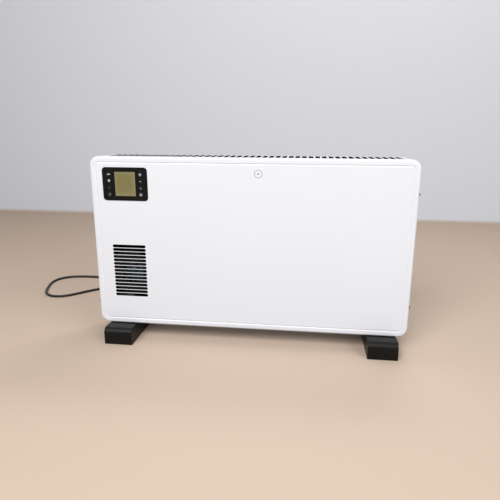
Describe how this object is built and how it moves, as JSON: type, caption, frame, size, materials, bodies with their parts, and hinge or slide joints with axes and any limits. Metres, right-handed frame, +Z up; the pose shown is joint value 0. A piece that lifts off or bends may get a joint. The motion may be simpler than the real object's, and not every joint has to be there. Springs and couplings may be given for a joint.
{
  "type": "wall panel convector heater",
  "caption": "Slim white panel convector heater on two black feet, with a slotted top outlet, display control panel with round keys, turbo fan grille, rear cable and plug.",
  "frame": {"origin": "centre of the footprint, on the floor", "axes": "+Z up, -Y out of the front panel, +X to the right as seen from the front"},
  "size_m": [1.1123, 0.5145, 0.458],
  "materials": {
    "white_enamel": "smooth semi-gloss powder coat",
    "black_gloss": "polished moulded plastic",
    "black_matt": "fine-textured moulded plastic",
    "black_screw": "black coated steel",
    "display": "clear lens over an olive reflective display",
    "circuit_board": "solder-masked laminate",
    "zinc_steel": "galvanised sheet",
    "element_aluminium": "extruded, unpolished",
    "ceramic": "unglazed ceramic",
    "fan_teal": "moulded plastic",
    "brass_pin": "nickel-free turned brass",
    "cord_black": "matt extruded sheath"
  },
  "bodies": {
    "casing": {"front_panel": "white_enamel", "top_grille": "white_enamel", "bottom_plate": "white_enamel", "side_panel_left": "white_enamel", "side_panel_right": "white_enamel", "rear_panel": "white_enamel", "side_screw_left_1": "black_screw", "side_screw_right_1": "black_screw", "side_screw_right_2": "black_screw", "rear_screw_1": "black_screw", "rear_screw_2": "black_screw", "rear_screw_3": "black_screw", "rear_screw_4": "black_screw", "control_bezel": "black_gloss", "display_lens": "display", "display_module": "display", "control_board": "circuit_board", "fan_cover": "black_matt", "fan_housing": "black_matt", "fan_motor": "zinc_steel", "partition_plate": "zinc_steel", "power_board": "circuit_board", "heating_element_lower": "element_aluminium", "heating_element_upper": "element_aluminium", "element_insulator_left": "ceramic", "element_insulator_right": "ceramic", "element_bracket_left": "zinc_steel", "element_bracket_right": "zinc_steel", "heat_shield_front": "zinc_steel", "heat_shield_rear": "zinc_steel", "thermal_cutout": "zinc_steel", "tip_over_switch": "black_matt", "terminal_block": "ceramic", "main_switch_housing": "black_matt", "foot_left": "black_matt", "foot_right": "black_matt", "foot_screw_left_1": "black_screw", "foot_screw_left_2": "black_screw", "foot_screw_right_1": "black_screw", "foot_screw_right_2": "black_screw", "strain_relief": "black_matt", "inner_lead": "cord_black", "power_cord": "cord_black", "cord_coil": "cord_black", "cord_tie": "black_matt", "plug_body": "cord_black", "plug_pins": "brass_pin"},
    "minus_key": {"key_minus": "black_gloss"},
    "down_key": {"key_down": "black_gloss"},
    "swing_key": {"key_swing": "black_gloss"},
    "timer_key": {"key_timer": "black_gloss"},
    "plus_key": {"key_plus": "black_gloss"},
    "set_key": {"key_set": "black_gloss"},
    "up_key": {"key_up": "black_gloss"},
    "power_key": {"key_power": "black_gloss"},
    "fan_rotor": {"fan_impeller": "fan_teal", "fan_shaft": "zinc_steel"},
    "switch_rocker": {"main_switch_rocker": "black_matt"}
  },
  "joints": [
    {"name": "minus_key_press", "type": "slide", "parent": "casing", "child": "minus_key", "axis": [0, 1, 0], "range_m": [0, 0.001], "stiffness_N_per_m": 600},
    {"name": "down_key_press", "type": "slide", "parent": "casing", "child": "down_key", "axis": [0, 1, 0], "range_m": [0, 0.001], "stiffness_N_per_m": 600},
    {"name": "swing_key_press", "type": "slide", "parent": "casing", "child": "swing_key", "axis": [0, 1, 0], "range_m": [0, 0.001], "stiffness_N_per_m": 600},
    {"name": "timer_key_press", "type": "slide", "parent": "casing", "child": "timer_key", "axis": [0, 1, 0], "range_m": [0, 0.001], "stiffness_N_per_m": 600},
    {"name": "plus_key_press", "type": "slide", "parent": "casing", "child": "plus_key", "axis": [0, 1, 0], "range_m": [0, 0.001], "stiffness_N_per_m": 600},
    {"name": "set_key_press", "type": "slide", "parent": "casing", "child": "set_key", "axis": [0, 1, 0], "range_m": [0, 0.001], "stiffness_N_per_m": 600},
    {"name": "up_key_press", "type": "slide", "parent": "casing", "child": "up_key", "axis": [0, 1, 0], "range_m": [0, 0.001], "stiffness_N_per_m": 600},
    {"name": "power_key_press", "type": "slide", "parent": "casing", "child": "power_key", "axis": [0, 1, 0], "range_m": [0, 0.001], "stiffness_N_per_m": 600},
    {"name": "fan_spin", "type": "hinge", "parent": "casing", "child": "fan_rotor", "pos_m": [-0.2938, -0.02, 0.1796], "axis": [0, 1, 0], "continuous": true},
    {"name": "main_switch_tilt", "type": "hinge", "parent": "casing", "child": "switch_rocker", "pos_m": [-0.3737, 0, 0.15], "axis": [0, 1, 0], "range_deg": [-16, 0]}
  ]
}
